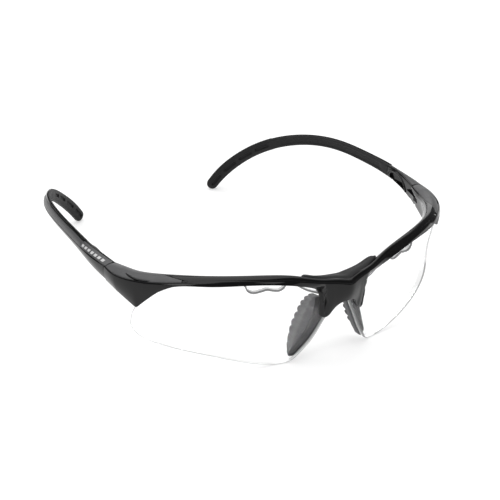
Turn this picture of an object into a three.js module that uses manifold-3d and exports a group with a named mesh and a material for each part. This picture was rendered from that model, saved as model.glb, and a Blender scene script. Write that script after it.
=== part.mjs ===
// Sports protective goggles: a half-rim wrap frame with clear lenses, rubber pads and two folding temples.
// Millimetres, +Z up. The front faces -Y, the temples run back along +Y, and the wearer's left is +X.
// Every outline is written for the wearer's left half in the hinge frame: x = 0 is the centre plane,
// and y = 0, z = 0 is the top of the joint line where a temple meets the front. The right half mirrors it.
import * as THREE from "three";
import { mergeVertices } from "three/addons/utils/BufferGeometryUtils.js";
import Module from "manifold-3d";

const wasm = await Module();
wasm.setup();

// ---- driving dimensions
const HINGE_HEIGHT = 34; // top of the joint line above the table
const GAP = 0.3; // clearance left between two pieces that touch
const LENS_OUTER_RADIUS = 67.8; // both lenses are spherical
const LENS_THICKNESS = 2.2;
const LENS_CENTRE = new THREE.Vector3(6.4, 20.7, -5.6);
const LENS_INNER_RADIUS = LENS_OUTER_RADIUS - LENS_THICKNESS;
const PIVOT = { x: 63.8, y: -4.6 }; // vertical hinge axis
const TONGUE = { top: -2.1, bottom: -3.6, radius: 2.3 }; // flat eye of the temple
const SCREW = { radius: 0.6, hole: 0.9, headRadius: 1.4, headBottom: -6, headTop: -5.2, top: -1 };
const INSERT = { radius: 1.6, bottom: -1.7, top: -0.8 };
const INLAY_DEPTH = 0.7; // trim panels let into the top of the frame and the temples
const PAD_START = 19; // the temple's rubber begins this far behind the joint line
const SLEEVE_START = 84; // and closes round the whole temple from here to the tip

// ---- small helpers
const vec = (x, y, z) => new THREE.Vector3(x, y, z);
const mix = (a, b, t) => a.clone().lerp(b, t);
const radians = THREE.MathUtils.degToRad;

// A smooth curve through a few points, or a straight-sided one.
function smooth(points) {
  return new THREE.CatmullRomCurve3(points.map((p) => vec(...p)), false, "centripetal");
}

// Value of a table [[position, value], ...] at a position, in straight lines between its rows.
function table(rows, at) {
  if (at <= rows[0][0]) return rows[0][1];
  for (let i = 1; i < rows.length; i += 1) {
    const [from, low] = rows[i - 1];
    const [to, high] = rows[i];
    if (at <= to) return low + ((high - low) * (at - from)) / (to - from);
  }
  return rows[rows.length - 1][1];
}

// Both ends of a span and the common stations between them, so that neighbouring pieces share their facets.
function stationsBetween(from, to, spacing) {
  const stations = [from];
  for (let i = Math.floor(from / spacing) + 1; i * spacing < to - spacing / 4; i += 1) {
    if (i * spacing > from + spacing / 4) stations.push(i * spacing);
  }
  return [...stations, to];
}

// Triangles that close a ring of points, whatever its outline.
function capTriangles(ring) {
  const normal = vec(0, 0, 0);
  ring.forEach((p, i) => {
    const q = ring[(i + 1) % ring.length];
    normal.add(vec((p.y - q.y) * (p.z + q.z), (p.z - q.z) * (p.x + q.x), (p.x - q.x) * (p.y + q.y)));
  });
  normal.normalize();
  const side = ring[1].clone().sub(ring[0]).projectOnPlane(normal).normalize();
  const up = normal.clone().cross(side);
  const flat = ring.map((p) => new THREE.Vector2(p.dot(side), p.dot(up)));
  return THREE.ShapeUtils.triangulateShape(flat, []);
}

// A closed skin over rings that all have the same number of points.
function loft(rings) {
  const count = rings[0].length;
  const index = [];
  for (let i = 0; i + 1 < rings.length; i += 1) {
    for (let j = 0; j < count; j += 1) {
      const a = i * count + j;
      const b = i * count + ((j + 1) % count);
      index.push(a, b, b + count, a, b + count, a + count);
    }
  }
  const last = (rings.length - 1) * count;
  capTriangles(rings[0]).forEach(([a, b, c]) => index.push(a, c, b));
  capTriangles(rings[rings.length - 1]).forEach(([a, b, c]) => index.push(last + a, last + b, last + c));
  const geometry = new THREE.BufferGeometry().setFromPoints(rings.flat());
  geometry.setIndex(index);
  return outward(geometry);
}

// Turns a closed geometry's faces outward.
function outward(geometry) {
  const position = geometry.getAttribute("position");
  const corner = (i) => new THREE.Vector3().fromBufferAttribute(position, geometry.index.getX(i));
  let volume = 0;
  for (let i = 0; i < geometry.index.count; i += 3) {
    volume += corner(i).dot(corner(i + 1).cross(corner(i + 2)));
  }
  if (volume < 0) geometry.index.array.reverse();
  return geometry;
}

// Boolean work: geometry to solid and back.
function bare(geometry) {
  const copy = geometry.clone();
  copy.deleteAttribute("normal");
  copy.deleteAttribute("uv");
  return copy;
}

function solid(geometry) {
  const merged = mergeVertices(bare(geometry), 1e-4);
  return new wasm.Manifold(
    new wasm.Mesh({
      numProp: 3,
      vertProperties: new Float32Array(merged.getAttribute("position").array),
      triVerts: new Uint32Array(merged.index.array),
    }),
  );
}

function geometryOf(body) {
  const mesh = body.getMesh();
  const geometry = new THREE.BufferGeometry();
  geometry.setAttribute("position", new THREE.BufferAttribute(new Float32Array(mesh.vertProperties), 3));
  geometry.setIndex(new THREE.BufferAttribute(new Uint32Array(mesh.triVerts), 1));
  return geometry;
}

// An upright prism or disc, its outline in X and Y, between two heights.
function upright(outline, bottom, top) {
  const shape = new THREE.Shape(outline);
  const geometry = new THREE.ExtrudeGeometry(shape, { depth: top - bottom, bevelEnabled: false });
  return solid(geometry.translate(0, 0, bottom));
}

function disc(x, y, radius, bottom, top, sides = 20) {
  const geometry = new THREE.CylinderGeometry(radius, radius, top - bottom, sides);
  return solid(geometry.rotateX(Math.PI / 2).translate(x, y, (top + bottom) / 2));
}

function box(low, high) {
  const size = vec(...high).sub(vec(...low));
  const geometry = new THREE.BoxGeometry(size.x, size.y, size.z);
  return solid(geometry.translate(...mix(vec(...low), vec(...high), 0.5).toArray()));
}

// Cuts a body back so that it stays a gap away from a neighbour on the sides that the shifts point to.
function clearOf(body, neighbour, directions) {
  return directions.reduce((left, [x, y, z]) => {
    const shift = vec(x, y, z).setLength(GAP);
    return left.subtract(solid(geometryOf(neighbour).translate(shift.x, shift.y, shift.z)));
  }, body.subtract(neighbour));
}

function mirrored(body) {
  const geometry = geometryOf(body);
  geometry.scale(-1, 1, 1);
  geometry.index.array.reverse();
  return solid(geometry);
}

// ---- the brow bar's rails, from the centre plane out to the hinge
// ridge: front edge of the top strip. crest: rear edge of the strip. heel: rear top edge.
// sole: rear bottom edge. lip: front bottom edge. The lip and sole run straight from the lug's
// point (station 6) to the hinge.
const LUG_STATION = 6;
const RIDGE = [
  [0, -54, -0.8],
  [10, -50.8, 0.6],
  [20, -47, 2.3],
  [34, -42.1, 3.6],
  [47.2, -35.4, 3.8],
  [57.8, -25.7, 2],
  [64.6, -15.8, 0.3],
  [67.9, -7, -0.3],
  [68.2, -GAP / 2, 0],
];
const CREST = [
  [0, -52.6, 0.9],
  [9.8, -49.6, 2],
  [19.3, -45.4, 4],
  [32.7, -39.8, 5],
  [45.2, -32.9, 5.1],
  [53.4, -23.3, 3.5],
  [58.8, -13.6, 1.4],
  [61.4, -6, 0.5],
  [63.4, -GAP / 2, 0.3],
];
const HEEL = [
  [0, -50, 0.6],
  [9.2, -47.9, 1.4],
  [18.9, -44.4, 3],
  [32.2, -38.9, 4],
  [44.6, -32.1, 4.1],
  [52.8, -22.8, 2.2],
  [58.5, -13.4, 0.2],
  [61.2, -5.9, -0.7],
  [63.4, -GAP / 2, -0.9],
];
const SOLE = [
  [0, -50.2, -5.6],
  [9.2, -47.4, -3],
  [18.8, -43.9, 1.4],
  [32, -38.5, 2.7],
  [44.4, -31.8, 2.6],
  [52.6, -22.5, -0.1],
  [60.4, -13.8, -9],
  [62, -6, -6.2],
  [63.5, -GAP / 2, -5.6],
];
const LIP = [
  [0, -52.9, -7.3],
  [10.4, -49.8, -3],
  [20, -47.5, 1],
  [34, -42.7, 2.6],
  [47.2, -36.1, 2.7],
  [57.4, -26.4, -0.1],
  [64.4, -16.6, -9.8],
  [67.1, -7.6, -6.2],
  [67.6, -GAP / 2, -5.7],
];
const CROWN = [0.1, 0.2, 0.4, 0.5, 0.6, 1, 1.4, 1.3, 0.5]; // rise of the strip between ridge and crest
const STEPS_PER_STATION = 3;

// Point of a rail at a station number; a cornered rail is straight beyond the lug's point.
function railPoint(points, station, cornered) {
  if (cornered && station >= LUG_STATION) {
    const i = Math.min(Math.floor(station), points.length - 2);
    return mix(vec(...points[i]), vec(...points[i + 1]), station - i);
  }
  const used = cornered ? points.slice(0, LUG_STATION + 1) : points;
  return smooth(used).getPoint(station / (used.length - 1));
}

function crownAt(station) {
  return table(CROWN.map((rise, i) => [i, rise]), station);
}

// Section of the bar.
function barRing(station) {
  const ridge = railPoint(RIDGE, station);
  const crest = railPoint(CREST, station);
  const lip = railPoint(LIP, station, true);
  const crown = mix(ridge, crest, 0.5);
  crown.z += crownAt(station);
  const face = mix(ridge, lip, 0.5);
  const bulge = Math.min(0.5, ridge.distanceTo(lip) * 0.08);
  face.add(face.clone().setZ(0).normalize().multiplyScalar(bulge));
  return [ridge, crown, crest, railPoint(HEEL, station), railPoint(SOLE, station, true), lip, face];
}

const flip = (p) => vec(-p.x, p.y, p.z);

function browBar() {
  const half = [];
  const steps = (RIDGE.length - 1) * STEPS_PER_STATION;
  for (let i = 0; i <= steps; i += 1) half.push(barRing(i / STEPS_PER_STATION));
  const other = half.slice(1).reverse().map((ring) => ring.map(flip));
  return solid(loft([...other, ...half]));
}

// ---- nose arms: two tapering arms that come down from the bridge in front of the lenses
// Each row: height, outer x, inner x, y of the outer front edge, y of the inner front edge.
const ARM_ROWS = [
  [1, 15.5, -0.5, -47.8, -53.4],
  [-1.5, 12.8, -0.5, -48.7, -53.4],
  [-4.5, 10.5, -0.4, -49.4, -53.2],
  [-7.2, 9.8, 0.6, -49.5, -52.9],
  [-9.6, 9.5, 3.5, -49.5, -51.8],
  [-12, 9.3, 5.4, -49.4, -50.9],
  [-13.8, 8.9, 6.5, -49.2, -50],
  [-14.8, 8.1, 7.2, -49, -49.3],
];
const ARM_DEPTH = 2.6;

function noseArm() {
  const rings = ARM_ROWS.map(([z, outer, inner, outerY, innerY]) => {
    const crownX = (outer + inner) / 2;
    const crownY = (outerY + innerY) / 2 - 0.5;
    return [
      vec(outer, outerY, z),
      vec(crownX, crownY, z),
      vec(inner, innerY, z),
      vec(inner, innerY + ARM_DEPTH, z),
      vec(outer, outerY + ARM_DEPTH, z),
    ];
  });
  return solid(loft(rings));
}

// ---- lens: a patch of a spherical shell, cut in stations of azimuth about its centre
// Azimuth 0 looks straight ahead from the sphere's centre, and grows towards the temple.
function lensPoint(azimuth, z, radius) {
  const level = Math.sqrt(radius ** 2 - (z - LENS_CENTRE.z) ** 2);
  const angle = radians(azimuth);
  return vec(LENS_CENTRE.x + level * Math.sin(angle), LENS_CENTRE.y - level * Math.cos(angle), z);
}

// Bottom edge: down the nose side, a short flat to stand on, then along the bottom and up the temple side.
const LENS_FOOT = -HINGE_HEIGHT;
const LENS_BOTTOM = [
  [-2.4, -10],
  [-1.4, -14],
  [0.6, -19],
  [3.2, -25],
  [6.8, -31],
  [8.4, -33.1],
  [10.4, LENS_FOOT],
  [14, LENS_FOOT],
  [20, -32.8],
  [28, -30.2],
  [37, -27.5],
  [49, -25.3],
  [54, -24.4],
  [57.6, -23.4],
  [59.8, -21.6],
  [60.8, -19.4],
];
// Top edge: seated in the bar, with a wavy air vent over the nose side, then behind the lug.
const LENS_TOP = [
  [-2.4, -8.6],
  [1, -5.4],
  [6, -2.6],
  [12.4, 1.6],
  [13.2, -0.1],
  [14.6, -0.9],
  [15.8, -0.8],
  [18.4, -0.1],
  [20, -0.4],
  [22, -0.9],
  [23.8, -0.1],
  [25, 2],
  [25.8, 3.2],
  [36, 3.4],
  [42, 2.6],
  [46, 0.8],
  [50, -1.6],
  [54, -4.4],
  [57, -7.6],
  [59, -11],
  [60.8, -16.5],
];
const LENS_ROWS = 4; // spans from the bottom edge to the top edge

function lensSolid(grow) {
  const stations = [...new Set([...LENS_BOTTOM, ...LENS_TOP].map(([azimuth]) => azimuth))];
  stations.sort((a, b) => a - b);
  const outer = LENS_OUTER_RADIUS + grow;
  const inner = LENS_INNER_RADIUS - grow;
  const rings = stations.map((azimuth) => {
    const bottom = table(LENS_BOTTOM, azimuth) - grow;
    const top = table(LENS_TOP, azimuth) + grow;
    const heights = Array.from({ length: LENS_ROWS + 1 }, (_, i) => bottom + ((top - bottom) * i) / LENS_ROWS);
    const front = heights.map((z) => lensPoint(azimuth, z, outer));
    const back = heights.reverse().map((z) => lensPoint(azimuth, z, inner));
    return [...front, ...back];
  });
  return solid(loft(rings));
}

// ---- hinge: an eye on the temple between two lips of the end piece
function tongueOutline(grow) {
  const points = [];
  const radius = TONGUE.radius + grow;
  for (let degrees = 150; degrees <= 390; degrees += 20) {
    const angle = radians(degrees);
    points.push(new THREE.Vector2(PIVOT.x + radius * Math.cos(angle), PIVOT.y + radius * Math.sin(angle)));
  }
  points.push(new THREE.Vector2(PIVOT.x + radius, 2.6), new THREE.Vector2(PIVOT.x - 0.6, 2.6));
  return points;
}

// Room for the tongue through its whole swing.
function tongueSlot() {
  const round = disc(PIVOT.x, PIVOT.y, TONGUE.radius + GAP, TONGUE.bottom - GAP, TONGUE.top + GAP, 28);
  const sweep = upright(
    [
      new THREE.Vector2(PIVOT.x - 6, PIVOT.y - TONGUE.radius - GAP),
      new THREE.Vector2(PIVOT.x, PIVOT.y - TONGUE.radius - GAP),
      new THREE.Vector2(PIVOT.x + TONGUE.radius + GAP, PIVOT.y),
      new THREE.Vector2(PIVOT.x + TONGUE.radius + GAP, 1),
      new THREE.Vector2(PIVOT.x - 6, 1),
    ],
    TONGUE.bottom - GAP,
    TONGUE.top + GAP,
  );
  return round.add(sweep);
}

// Pocket for the threaded insert, the screw's hole, and the recess for its head.
function screwBore() {
  const pocket = disc(PIVOT.x, PIVOT.y, INSERT.radius + GAP, TONGUE.top, INSERT.top + GAP);
  const hole = disc(PIVOT.x, PIVOT.y, SCREW.hole, SCREW.headTop - 1, TONGUE.top);
  const recess = disc(PIVOT.x, PIVOT.y, SCREW.headRadius + GAP, SCREW.headBottom - 3, SCREW.headTop + GAP);
  return pocket.add(hole).add(recess);
}

function hingeScrew() {
  const chamfer = 0.2;
  const profile = [
    [0, SCREW.headBottom],
    [SCREW.headRadius - chamfer, SCREW.headBottom],
    [SCREW.headRadius, SCREW.headBottom + chamfer],
    [SCREW.headRadius, SCREW.headTop],
    [SCREW.radius, SCREW.headTop],
    [SCREW.radius, SCREW.top - chamfer],
    [SCREW.radius - chamfer, SCREW.top],
    [0, SCREW.top],
  ].map(([r, z]) => new THREE.Vector2(r, z));
  const turned = new THREE.LatheGeometry(profile, 16).rotateX(Math.PI / 2);
  const slot = box(
    [PIVOT.x - 2, PIVOT.y - 0.2, SCREW.headBottom - 1],
    [PIVOT.x + 2, PIVOT.y + 0.2, SCREW.headBottom + 0.35],
  );
  return solid(outward(mergeVertices(bare(turned), 1e-4)).translate(PIVOT.x, PIVOT.y, 0)).subtract(slot);
}

function hingeInsert() {
  const outer = disc(PIVOT.x, PIVOT.y, INSERT.radius, INSERT.bottom, INSERT.top);
  return outer.subtract(disc(PIVOT.x, PIVOT.y, SCREW.hole, INSERT.bottom - 1, INSERT.top + 1));
}

// ---- trim panel let into the top of each end piece, tapering out along the bar
const BROW_INLAY = { start: 4.1, end: 7.97 };
// Where the panel's rear edge lies across the strip, from 0 at the ridge to 1 at the crest, by station.
// Its front edge keeps beside the ridge, so the panel's inboard end is a point against the ridge.
const BROW_INLAY_FRONT = 0.11;
const BROW_INLAY_REAR = [
  [4.1, 0.24],
  [4.5, 0.42],
  [5, 0.64],
  [5.5, 0.79],
  [6.1, 0.86],
  [8, 0.86],
];

function browInlay(grow, rise) {
  const from = BROW_INLAY.start - grow * 0.2;
  const to = Math.min(BROW_INLAY.end + grow, RIDGE.length - 1);
  const rings = stationsBetween(from, to, 1 / STEPS_PER_STATION).map((at) => {
    const [ridge, crown, crest] = barRing(at);
    const across = (share) =>
      share < 0.5 ? mix(ridge, crown, share * 2) : mix(crown, crest, share * 2 - 1);
    const reach = grow / ridge.distanceTo(crest);
    const front = BROW_INLAY_FRONT - reach;
    const rear = table(BROW_INLAY_REAR, at) + reach;
    const top = [across(front), across(rear > 0.5 ? 0.5 : (front + rear) / 2), across(rear)];
    if (at === to && grow > 0) top.forEach((p) => p.add(vec(0, 1, 0)));
    const low = top.map((p) => vec(p.x, p.y, p.z - INLAY_DEPTH - grow)).reverse();
    return [...top.map((p) => vec(p.x, p.y, p.z + rise)), ...low];
  });
  return solid(loft(rings));
}

// A narrow curved slit in the panel, near its outer edge.
const SLIT = [
  [64.9, -10.6],
  [64.4, -13.6],
  [63, -17],
  [61, -20.2],
];
const SLIT_WIDTH = 0.9;

function slit() {
  const line = smooth(SLIT.map(([x, y]) => [x, y, 0]));
  const left = [];
  const right = [];
  const steps = 8;
  for (let i = 0; i <= steps; i += 1) {
    const point = line.getPoint(i / steps);
    const along = line.getTangent(i / steps);
    const reach = (SLIT_WIDTH / 2) * Math.sqrt(Math.max(0.05, 1 - (2 * (i / steps) - 1) ** 4));
    left.push(new THREE.Vector2(point.x - along.y * reach, point.y + along.x * reach));
    right.unshift(new THREE.Vector2(point.x + along.y * reach, point.y - along.x * reach));
  }
  return upright([...left, ...right], -1, 5);
}

// ---- brow pad: a soft wedge over the top and rear of the bridge
const BROW_PAD_HALF = 13.6;
const BROW_PAD_ROWS = [
  // x, front y, front z, top y, top z, rear y, bottom z
  [0, -52.3, 1.3, -50.2, 2, -48.3, -1.6],
  [4.5, -51, 1.7, -49, 2.4, -47.2, -1.2],
  [9, -49.4, 2.3, -47.6, 2.9, -45.8, -0.2],
  [12, -48, 2.8, -46.4, 3.4, -44.6, 0.9],
  [BROW_PAD_HALF, -47, 3, -46, 3.4, -44.9, 1.9],
];

function browPad(moulding) {
  const ring = ([x, frontY, frontZ, topY, topZ, rearY, bottomZ]) => [
    vec(x, frontY, frontZ),
    vec(x, (frontY + topY) / 2, (frontZ + topZ) / 2 + 0.35),
    vec(x, topY, topZ),
    vec(x, rearY - 0.3, topZ - 0.7),
    vec(x, rearY, (topZ + bottomZ) / 2),
    vec(x, rearY - 0.4, bottomZ),
    vec(x, frontY + 0.6, bottomZ),
  ];
  const half = BROW_PAD_ROWS.map(ring);
  const other = half.slice(1).reverse().map((points) => points.map(flip));
  const above = [0, 0, 1];
  const behind = [0, 1, 0];
  const between = [0, 1, 1];
  return clearOf(solid(loft([...other, ...half])), moulding, [above, behind, between]);
}

// ---- nose pad: a strip behind the lens's nose edge and a ribbed wing that runs back from it
// Each row: height, azimuth of the strip's nose edge, azimuth of the crease, wing tip x and y.
const NOSE_PAD_ROWS = [
  [-8, -1.6, 2.2, 8.4, -40.5],
  [-11.5, -1.4, 2.4, 8.4, -37.6],
  [-14.5, -0.8, 3, 8.7, -36],
  [-18.5, 0.5, 4.2, 9.8, -34.9],
  [-22.8, 2, 5.8, 11.3, -33.8],
  [-26.6, 3.6, 7.4, 12.6, -33.8],
  [-29.8, 5.5, 9, 14.2, -34.6],
  [-31.6, 6.8, 9.8, 15, -35.4],
];
const PAD_THICKNESS = 1.5;
const SCALLOP_DEPTH = 0.9;
const RIB_PITCH = 3.1;

function nosePad() {
  const rings = NOSE_PAD_ROWS.map(([z, edge, crease, tipX, tipY]) => {
    const skin = LENS_INNER_RADIUS - GAP;
    const front = lensPoint(edge, z, skin);
    const corner = lensPoint(crease, z, skin);
    return [
      front,
      corner,
      vec(tipX + PAD_THICKNESS / 2, tipY, z),
      vec(tipX - PAD_THICKNESS / 2, tipY, z),
      vec(corner.x - PAD_THICKNESS, corner.y + PAD_THICKNESS, z),
      vec(front.x, front.y + PAD_THICKNESS, z),
    ];
  });
  let pad = solid(loft(rings));
  for (let z = -13; z > -30; z -= RIB_PITCH) {
    const tipX = table(NOSE_PAD_ROWS.map((row) => [-row[0], row[3]]), -z);
    const tipY = table(NOSE_PAD_ROWS.map((row) => [-row[0], row[4]]), -z);
    const notch = new THREE.CylinderGeometry(SCALLOP_DEPTH, SCALLOP_DEPTH, 4, 10);
    pad = pad.subtract(solid(notch.rotateZ(Math.PI / 2).translate(tipX, tipY + 0.2, z)));
  }
  return pad;
}

// ---- temple: its centre line, width and height, then where the ridge and crest of its strip lie
// Rows: x, y, z, width, height, ridge rise, crest offset. Rise and offset are from the centre line.
const TEMPLE_ROWS = [
  [65.6, -1.5, -3.05, 4.7, 6.4, 3.05, -2.35],
  [66.9, 8, -1.7, 4.2, 6, 1.5, -1.8],
  [66.9, 22, -0.7, 3.1, 5.4, -0.5, -0.5],
  [66, 36, -0.8, 2.7, 5, -1, 0],
  [64.6, 50, -1.4, 2.7, 4.8, -1.2, 0],
  [61.6, 63.4, -3.1, 2.7, 4.7, -1.4, 0],
  [56.4, 76, -6.4, 2.8, 4.8, -1.4, 0],
  [49.6, 87, -11.8, 3.1, 4.9, -1.4, 0],
  [42.2, 96, -19.6, 3.3, 5, -1.2, 0],
  [35.8, 100.9, -27.6, 3.3, 5, -1, 0],
  [31.9, 103, -33.65, 3.2, 4.7, -1, 0],
];
const TEMPLE_LINE = smooth(TEMPLE_ROWS);
const TEMPLE_SPANS = TEMPLE_ROWS.length - 1;
const PAD_SEAM = -0.4; // the rubber lies inside this offset from the centre line

function templeValue(column, at) {
  return table(TEMPLE_ROWS.map((row, i) => [i, row[column]]), at * TEMPLE_SPANS);
}

// Share of the centre line at which it reaches a given distance behind the joint.
function templeShare(y) {
  return (
    table(TEMPLE_ROWS.map((row, i) => [row[1], i]), y) / TEMPLE_SPANS
  );
}

// Turns offsets outward and upward from the centre line into points.
function templeRing(at, offsets) {
  const centre = TEMPLE_LINE.getPoint(at);
  const along = TEMPLE_LINE.getTangent(at);
  const out = vec(along.y, -along.x, 0).normalize();
  const up = out.clone().cross(along).normalize();
  return offsets.map(([o, u]) => centre.clone().addScaledVector(out, o).addScaledVector(up, u));
}

// Skin between two distances behind the joint. finer multiplies the number of stations.
function templeLoft(fromY, toY, offsetsAt, finer = 1) {
  const from = templeShare(fromY);
  const to = templeShare(toY);
  const spacing = 1 / (TEMPLE_SPANS * STEPS_PER_STATION * finer);
  const rings = stationsBetween(from, to, spacing).map((at) =>
    templeRing(at, offsetsAt(at, (at - from) / (to - from))),
  );
  return solid(loft(rings));
}

// Corners of the strip on the temple: lower edge, bulging middle, upper edge.
function stripOffsets(at) {
  const half = templeValue(3, at) / 2;
  const top = templeValue(4, at) / 2;
  const ridge = [half, templeValue(5, at)];
  const crest = [templeValue(6, at), top];
  const middle = [(ridge[0] + crest[0]) / 2 + 0.45, (ridge[1] + crest[1]) / 2 + 0.25];
  return [ridge, middle, crest];
}

function templeSection(at) {
  const half = templeValue(3, at) / 2;
  const top = templeValue(4, at) / 2;
  return [...stripOffsets(at), [-half, top - 0.6], [-half, -top + 0.6], [half * 0.55, -top]];
}

const TEMPLE_END = SLEEVE_START - GAP;

function templeBody() {
  const beforeJoint = box([50, -20, -20], [80, GAP / 2, 20]);
  return templeLoft(TEMPLE_ROWS[0][1], TEMPLE_END, templeSection).subtract(beforeJoint);
}

// Everything on the wearer's side of the seam, behind the start of the rubber.
function padSide(seam, startY) {
  return templeLoft(startY, TEMPLE_END + 6, () => [
    [seam, 5],
    [seam, -5],
    [-5, -5],
    [-5, 5],
  ]);
}

// The hard core that runs on inside the rubber sleeve.
function tang(grow) {
  const half = 0.7 + grow;
  const rise = 1.3 + grow;
  return templeLoft(SLEEVE_START - 6 - grow, 97 + grow, () => [
    [half, rise],
    [-half, rise],
    [-half, -rise],
    [half, -rise],
  ]);
}

// Rubber sleeve round the end of the temple, with a rounded tip.
function sleeve() {
  const sides = 10;
  const outline = (at, share) => {
    const left = Math.min(1, (1 - share) * 7);
    const close = Math.max(0.25, Math.sqrt(1 - (1 - left) ** 2));
    const half = (templeValue(3, at) / 2) * close;
    const rise = (templeValue(4, at) / 2) * close;
    return Array.from({ length: sides }, (_, i) => {
      const angle = (i / sides) * 2 * Math.PI;
      return [half * Math.cos(angle), rise * Math.sin(angle)];
    });
  };
  return templeLoft(SLEEVE_START, 103, outline, 2);
}

// Four slots in the rubber near the tip, on the wearer's side.
function tipSlots() {
  const starts = [86, 91, 95.5, 99];
  const length = 2.6;
  const slots = starts.map((y) =>
    templeLoft(y, y + length * (1 - (y - 86) / 26), (at) => {
      const skin = -templeValue(3, at) / 2;
      return [
        [skin + 0.5, 0.5],
        [skin - 1, 0.5],
        [skin - 1, -0.5],
        [skin + 0.5, -0.5],
      ];
    }),
  );
  return slots.reduce((all, one) => all.add(one));
}

function templePad() {
  const innerHalf = templeLoft(PAD_START, SLEEVE_START + 1, templeSection);
  const rubber = innerHalf.intersect(padSide(PAD_SEAM - GAP / 2, PAD_START - 1)).add(sleeve());
  return rubber.subtract(tang(GAP)).subtract(templeInlay(GAP, 1)).subtract(tipSlots());
}

// Hollow on the wearer's side just behind the hinge, with one slanting rib left across it.
function hingePocket() {
  const outline = [
    [4.5, -3.4],
    [15.6, -3],
    [17, -0.4],
    [15, 1],
    [9, 0.6],
    [5, -1.2],
  ];
  const rib = [
    [8.2, -5],
    [9.2, -5],
    [12.6, 3],
    [11.4, 3],
  ];
  const pressed = (points, from, to) => {
    const shape = new THREE.Shape(points.map(([y, z]) => new THREE.Vector2(y, z)));
    const geometry = new THREE.ExtrudeGeometry(shape, { depth: to - from, bevelEnabled: false });
    const turn = new THREE.Matrix4().makeBasis(vec(0, 1, 0), vec(0, 0, 1), vec(1, 0, 0));
    return solid(geometry.applyMatrix4(turn).translate(from, 0, 0));
  };
  return pressed(outline, 60, 66.4).subtract(pressed(rib, 59, 67));
}

const TEMPLE_INLAY = { start: 0.6, end: 71, depth: 0.4 };

function templeInlay(grow, rise) {
  return templeLoft(TEMPLE_INLAY.start - grow * 3, TEMPLE_INLAY.end + grow, (at, share) => {
    const [ridge, middle, crest] = stripOffsets(at);
    const lerp = (a, b, t) => [a[0] + (b[0] - a[0]) * t, a[1] + (b[1] - a[1]) * t];
    const width = Math.hypot(middle[0] - ridge[0], middle[1] - ridge[1]);
    const taper = share > 0.85 ? ((share - 0.85) / 0.15) ** 2 * 0.5 : 0;
    const edge = 0.26 + taper - grow / width;
    const normal = [crest[1] - ridge[1], ridge[0] - crest[0]];
    const size = Math.hypot(...normal);
    const shift = (p, by) => [p[0] + (normal[0] / size) * by, p[1] + (normal[1] / size) * by];
    const top = [lerp(ridge, middle, edge), middle, lerp(crest, middle, edge)];
    const low = top.map((p) => shift(p, -TEMPLE_INLAY.depth - grow)).reverse();
    return [...top.map((p) => shift(p, rise)), ...low];
  });
}

function templeArm() {
  const eye = upright(tongueOutline(0), TONGUE.bottom, TONGUE.top);
  return templeBody()
    .subtract(padSide(PAD_SEAM + GAP / 2, PAD_START - GAP))
    .add(tang(0))
    .subtract(hingePocket())
    .subtract(templeInlay(GAP, 1))
    .add(eye)
    .subtract(disc(PIVOT.x, PIVOT.y, SCREW.hole, -6, 0));
}

// ---- front frame: bar, arms and end pieces in one moulding
function barAndArms() {
  const arm = noseArm();
  return browBar().add(arm).add(mirrored(arm));
}

function frontFrame() {
  const seat = lensSolid(GAP);
  const cuts = seat.add(tongueSlot()).add(screwBore()).add(browInlay(GAP, 1)).add(slit());
  return barAndArms().subtract(cuts).subtract(mirrored(cuts));
}

// ---- materials
const black = new THREE.MeshStandardMaterial({ color: 0x141416, roughness: 0.22, metalness: 0 });
const satin = new THREE.MeshStandardMaterial({ color: 0x3a3b3e, roughness: 0.45, metalness: 0.1 });
const rubber = new THREE.MeshStandardMaterial({ color: 0x2b2c2e, roughness: 0.85, metalness: 0 });
const steel = new THREE.MeshStandardMaterial({ color: 0xb8bcc2, roughness: 0.3, metalness: 1 });
const brass = new THREE.MeshStandardMaterial({ color: 0xb8964e, roughness: 0.35, metalness: 1 });
const clear = new THREE.MeshStandardMaterial({
  color: 0xe8eef0,
  roughness: 0.05,
  metalness: 0,
  transparent: true,
  opacity: 0.35,
});

function part(name, body, material) {
  const mesh = new THREE.Mesh(geometryOf(body), material.clone());
  mesh.name = name;
  mesh.geometry.computeVertexNormals();
  return mesh;
}

// ---- assembly
const goggles = new THREE.Group();
goggles.add(part("front_frame", frontFrame(), black));
goggles.add(part("brow_pad", browPad(barAndArms()), rubber));

const sides = [
  ["left", 1],
  ["right", -1],
];
for (const [side, sign] of sides) {
  const half = new THREE.Group();
  half.scale.x = sign;
  half.add(part(`lens_${side}`, lensSolid(0), clear));
  half.add(part(`nose_pad_${side}`, nosePad(), rubber));
  half.add(part(`brow_inlay_${side}`, browInlay(0, 0).subtract(slit()), satin));
  half.add(part(`hinge_screw_${side}`, hingeScrew(), steel));
  half.add(part(`hinge_insert_${side}`, hingeInsert(), brass));
  half.add(part(`temple_arm_${side}`, templeArm(), black));
  half.add(part(`temple_inlay_${side}`, templeInlay(0, 0), satin));
  half.add(part(`temple_pad_${side}`, templePad(), rubber));
  goggles.add(half);
}

// The frame's origin is the middle of the space the goggles take up on the table.
const extent = new THREE.Box3().setFromObject(goggles);
goggles.position.set(0, -(extent.min.y + extent.max.y) / 2, HINGE_HEIGHT);

export default goggles;
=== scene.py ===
"""Looks of the sports protective goggles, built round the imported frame.

Every outline is written in millimetres from the hinge line: x = 0 is the centre plane, and y = 0,
z = 0 is the top of the joint line where a temple meets the front. place() moves it into the frame.
"""

import math

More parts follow.
